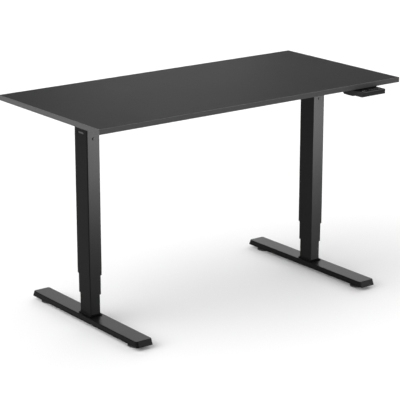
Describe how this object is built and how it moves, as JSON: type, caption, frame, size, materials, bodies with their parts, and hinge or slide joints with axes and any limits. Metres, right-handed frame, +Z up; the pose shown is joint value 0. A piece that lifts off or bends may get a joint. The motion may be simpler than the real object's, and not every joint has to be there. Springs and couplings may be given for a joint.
{
  "type": "height adjustable standing desk",
  "caption": "Rectangular desktop on two powered telescopic column legs with flat bar feet, levelling glides and an under-edge control handset.",
  "frame": {"origin": "on the floor, midway between the two columns and halfway from the front of the handset to the rear ends of the feet, 8 mm in front of the columns' axes", "axes": "+X to the user's right along the desktop, +Y away from the user, +Z up"},
  "size_m": [1.4, 0.728, 0.831],
  "materials": {
    "black_laminate_board": "fine-textured matt laminate",
    "abs_edging": "satin ABS edging",
    "powder_coated_steel": "fine-textured black powder coat",
    "zinc_plated_steel": "bright zinc plate",
    "blackened_steel": "black oxide",
    "ground_steel": "rolled and greased steel",
    "die_cast_aluminium": "as-cast",
    "bronze": "machined bronze",
    "acetal": "moulded acetal",
    "natural_acetal": "moulded acetal",
    "motor_can": "enamelled steel",
    "glide_nylon": "moulded nylon",
    "pad_rubber": "plain rubber",
    "moulded_abs": "spark-eroded ABS",
    "gloss_abs": "polished ABS",
    "smoked_acrylic": "smoked acrylic",
    "key_abs": "satin ABS",
    "circuit_board": "glass epoxy"
  },
  "bodies": {
    "base": {"base_plates": "powder_coated_steel", "foot_bolts": "zinc_plated_steel", "glide_nuts": "zinc_plated_steel", "left_foot": "powder_coated_steel", "left_inner_tube": "powder_coated_steel", "left_inner_nut": "natural_acetal", "right_foot": "powder_coated_steel", "right_inner_tube": "powder_coated_steel", "right_inner_nut": "natural_acetal"},
    "top_frame": {"desktop_panel": "black_laminate_board", "edge_band": "abs_edging", "desktop_screws": "blackened_steel", "bracket_pads": "pad_rubber", "front_rail": "powder_coated_steel", "rear_rail": "powder_coated_steel", "frame_bolts": "blackened_steel", "spindle_bearings": "ground_steel", "control_box_lid": "powder_coated_steel", "control_box_shell": "moulded_abs", "control_board": "circuit_board", "socket_panel": "moulded_abs", "handset_shell": "moulded_abs", "handset_face": "gloss_abs", "handset_board": "circuit_board", "display_window": "smoked_acrylic", "left_column_head": "powder_coated_steel", "left_side_bracket": "powder_coated_steel", "left_gear_housing": "die_cast_aluminium", "left_motor": "motor_can", "left_outer_tube": "powder_coated_steel", "left_outer_guide": "acetal", "right_column_head": "powder_coated_steel", "right_side_bracket": "powder_coated_steel", "right_gear_housing": "die_cast_aluminium", "right_motor": "motor_can", "right_outer_tube": "powder_coated_steel", "right_outer_guide": "acetal"},
    "left_middle": {"left_middle_tube": "powder_coated_steel", "left_middle_guide": "acetal", "left_middle_nut": "natural_acetal"},
    "left_spindle": {"left_spindle": "ground_steel", "left_worm_wheel": "bronze"},
    "left_hollow_screw": {"left_hollow_screw": "ground_steel"},
    "left_worm": {"left_worm": "ground_steel"},
    "left_front_glide": {"left_front_glide": "glide_nylon"},
    "left_rear_glide": {"left_rear_glide": "glide_nylon"},
    "right_middle": {"right_middle_tube": "powder_coated_steel", "right_middle_guide": "acetal", "right_middle_nut": "natural_acetal"},
    "right_spindle": {"right_spindle": "ground_steel", "right_worm_wheel": "bronze"},
    "right_hollow_screw": {"right_hollow_screw": "ground_steel"},
    "right_worm": {"right_worm": "ground_steel"},
    "right_front_glide": {"right_front_glide": "glide_nylon"},
    "right_rear_glide": {"right_rear_glide": "glide_nylon"},
    "up_button": {"up_button": "key_abs"},
    "down_button": {"down_button": "key_abs"},
    "preset_one_button": {"preset_one_button": "key_abs"},
    "preset_two_button": {"preset_two_button": "key_abs"},
    "preset_three_button": {"preset_three_button": "key_abs"}
  },
  "joints": [
    {"name": "desk_lift", "type": "slide", "parent": "base", "child": "top_frame", "axis": [0, 0, 1], "range_m": [-0.14, 0.46]},
    {"name": "left_middle_slide", "type": "slide", "parent": "base", "child": "left_middle", "axis": [0, 0, 1], "range_m": [-0.0705, 0.2305]},
    {"name": "left_spindle_spin", "type": "hinge", "parent": "top_frame", "child": "left_spindle", "pos_m": [-0.538, 0.008, 0.786], "axis": [0, 0, 1], "continuous": true},
    {"name": "left_hollow_screw_spin", "type": "hinge", "parent": "left_middle", "child": "left_hollow_screw", "pos_m": [-0.538, 0.008, 0.5965], "axis": [0, 0, 1], "continuous": true},
    {"name": "left_worm_spin", "type": "hinge", "parent": "top_frame", "child": "left_worm", "pos_m": [-0.538, 0.0313, 0.786], "axis": [1, 0, 0], "continuous": true},
    {"name": "right_middle_slide", "type": "slide", "parent": "base", "child": "right_middle", "axis": [0, 0, 1], "range_m": [-0.0705, 0.2305]},
    {"name": "right_spindle_spin", "type": "hinge", "parent": "top_frame", "child": "right_spindle", "pos_m": [0.538, 0.008, 0.786], "axis": [0, 0, 1], "continuous": true},
    {"name": "right_hollow_screw_spin", "type": "hinge", "parent": "right_middle", "child": "right_hollow_screw", "pos_m": [0.538, 0.008, 0.5965], "axis": [0, 0, 1], "continuous": true},
    {"name": "right_worm_spin", "type": "hinge", "parent": "top_frame", "child": "right_worm", "pos_m": [0.538, 0.0313, 0.786], "axis": [1, 0, 0], "continuous": true},
    {"name": "left_front_glide_screw", "type": "slide", "parent": "base", "child": "left_front_glide", "axis": [0, 0, 1], "range_m": [-0.01, 0]},
    {"name": "left_rear_glide_screw", "type": "slide", "parent": "base", "child": "left_rear_glide", "axis": [0, 0, 1], "range_m": [-0.01, 0]},
    {"name": "right_front_glide_screw", "type": "slide", "parent": "base", "child": "right_front_glide", "axis": [0, 0, 1], "range_m": [-0.01, 0]},
    {"name": "right_rear_glide_screw", "type": "slide", "parent": "base", "child": "right_rear_glide", "axis": [0, 0, 1], "range_m": [-0.01, 0]},
    {"name": "up_press", "type": "slide", "parent": "top_frame", "child": "up_button", "axis": [0, 0, -1], "range_m": [0, 0.0008], "stiffness_N_per_m": 1500},
    {"name": "down_press", "type": "slide", "parent": "top_frame", "child": "down_button", "axis": [0, 0, -1], "range_m": [0, 0.0008], "stiffness_N_per_m": 1500},
    {"name": "preset_one_press", "type": "slide", "parent": "top_frame", "child": "preset_one_button", "axis": [0, 0, -1], "range_m": [0, 0.0008], "stiffness_N_per_m": 1500},
    {"name": "preset_two_press", "type": "slide", "parent": "top_frame", "child": "preset_two_button", "axis": [0, 0, -1], "range_m": [0, 0.0008], "stiffness_N_per_m": 1500},
    {"name": "preset_three_press", "type": "slide", "parent": "top_frame", "child": "preset_three_button", "axis": [0, 0, -1], "range_m": [0, 0.0008], "stiffness_N_per_m": 1500}
  ],
  "couplings": [
    {"joint": "left_middle_slide", "follows": "desk_lift", "ratio": 0.5},
    {"joint": "left_spindle_spin", "follows": "desk_lift", "rad_per_m": 392.7},
    {"joint": "left_hollow_screw_spin", "follows": "desk_lift", "rad_per_m": 392.7},
    {"joint": "left_worm_spin", "follows": "desk_lift", "rad_per_m": 11781},
    {"joint": "right_middle_slide", "follows": "desk_lift", "ratio": 0.5},
    {"joint": "right_spindle_spin", "follows": "desk_lift", "rad_per_m": 392.7},
    {"joint": "right_hollow_screw_spin", "follows": "desk_lift", "rad_per_m": 392.7},
    {"joint": "right_worm_spin", "follows": "desk_lift", "rad_per_m": 11781}
  ]
}
